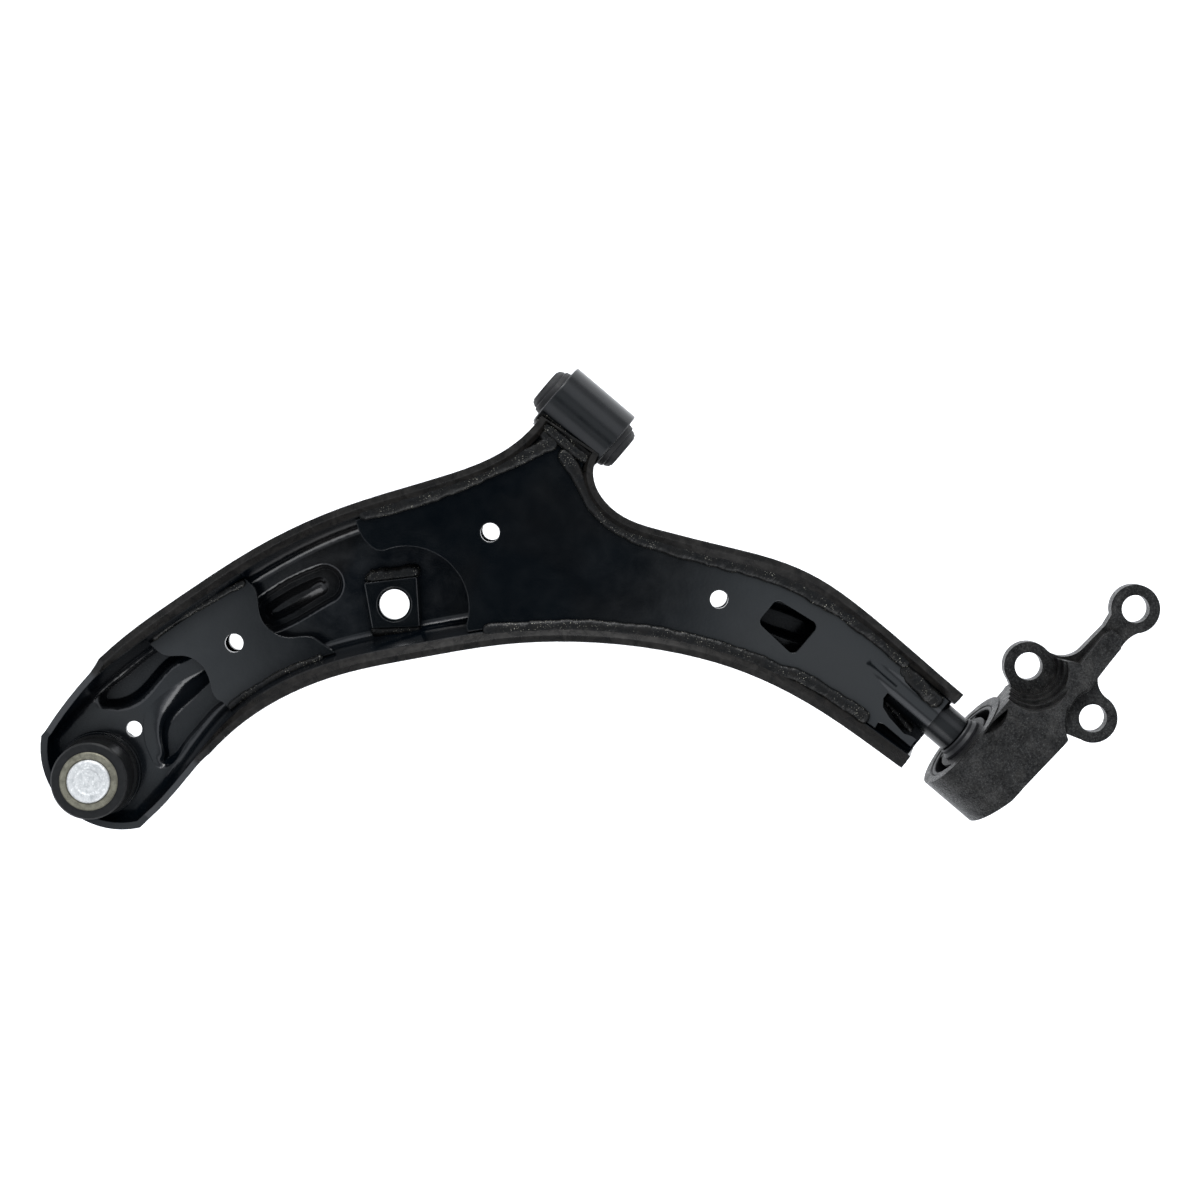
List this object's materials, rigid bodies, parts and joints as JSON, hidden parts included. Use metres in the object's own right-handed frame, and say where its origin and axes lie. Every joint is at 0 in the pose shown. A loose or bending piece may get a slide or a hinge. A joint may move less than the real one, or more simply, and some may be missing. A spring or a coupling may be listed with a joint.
{
  "type": "front lower control arm",
  "caption": "Curved pressed-steel suspension arm with a front rubber bush, a rear bush in a cast mounting bracket, and a ball joint at the wheel end.",
  "frame": {"origin": "centre of the front bush, on the arm's pivot axis", "axes": "+X along the pivot axis from the front bush to the rear bush; +Z out of the open side of the pressed channel, away from the ball stud; the ball joint lies towards -Y"},
  "size_m": [0.3996, 0.4268, 0.1073],
  "materials": {
    "coated_pressing": "satin black dip coat over pressed steel",
    "coated_plate": "smooth satin black dip coat",
    "coated_pin": "smooth satin black dip coat over a turned pin",
    "weld_bead": "rippled weld under black dip coat",
    "coated_casting": "fine sand-cast texture under black dip coat",
    "bush_sleeve": "turned steel, thinly coated",
    "bush_rubber": "moulded matt black rubber",
    "dark_forging": "phosphated steel, matt",
    "seat_plastic": "moulded low-friction plastic",
    "stud_steel": "machined steel",
    "zinc_cover": "white zinc plating",
    "passivated_ring": "pale passivated plating",
    "spring_steel": "phosphated spring steel",
    "boot_rubber": "soft matt black rubber"
  },
  "bodies": {
    "arm": {"main_channel": "coated_pressing", "cover_plate": "coated_plate", "bridge_plate": "coated_plate", "link_plate": "coated_plate", "front_tube": "coated_plate", "rear_pin": "coated_pin", "cover_weld_front": "weld_bead", "cover_weld_rear": "weld_bead", "cover_weld_inner": "weld_bead", "bridge_weld_outer": "weld_bead", "bridge_weld_inner": "weld_bead", "link_weld_upper": "weld_bead", "link_weld_lower": "weld_bead", "tube_weld": "weld_bead", "pin_weld_lower": "weld_bead", "pin_weld_pad": "weld_bead", "front_outer_sleeve": "bush_sleeve", "front_rubber": "bush_rubber", "rear_inner_sleeve": "bush_sleeve", "rear_rubber": "bush_rubber", "ball_housing": "dark_forging", "ball_seat": "seat_plastic", "ball_cover": "zinc_cover", "closing_ring": "passivated_ring", "circlip": "spring_steel", "boot_lower_clip": "spring_steel"},
    "front_inner": {"front_inner_sleeve": "bush_sleeve"},
    "rear_mount": {"rear_bracket": "coated_casting", "rear_outer_sleeve": "bush_sleeve"},
    "boot": {"dust_boot": "boot_rubber"},
    "boot_neck": {"boot_upper_clip": "spring_steel"},
    "stud": {"ball_stud": "stud_steel"}
  },
  "joints": [
    {"name": "front_bush_torsion", "type": "hinge", "parent": "arm", "child": "front_inner", "pos_m": [0, 0, 0], "axis": [1, 0, 0], "range_deg": [-20, 20], "stiffness_Nm_per_rad": 40},
    {"name": "rear_bush_torsion", "type": "hinge", "parent": "arm", "child": "rear_mount", "pos_m": [0.2585, 0, 0], "axis": [1, 0, 0], "range_deg": [-20, 20], "stiffness_Nm_per_rad": 60},
    {"name": "stud_tilt_lateral", "type": "hinge", "parent": "arm", "child": "boot", "pos_m": [-0.069, -0.2892, -0.005], "axis": [1, 0, 0], "range_deg": [-20, 20], "deforming": ["dust_boot"]},
    {"name": "stud_tilt_fore_aft", "type": "hinge", "parent": "boot", "child": "boot_neck", "pos_m": [-0.069, -0.2892, -0.005], "axis": [0, 1, 0], "range_deg": [-6, 6], "deforming": ["dust_boot"]},
    {"name": "stud_spin", "type": "hinge", "parent": "boot_neck", "child": "stud", "pos_m": [-0.069, -0.2892, -0.005], "axis": [0, 0, 1], "continuous": true}
  ]
}
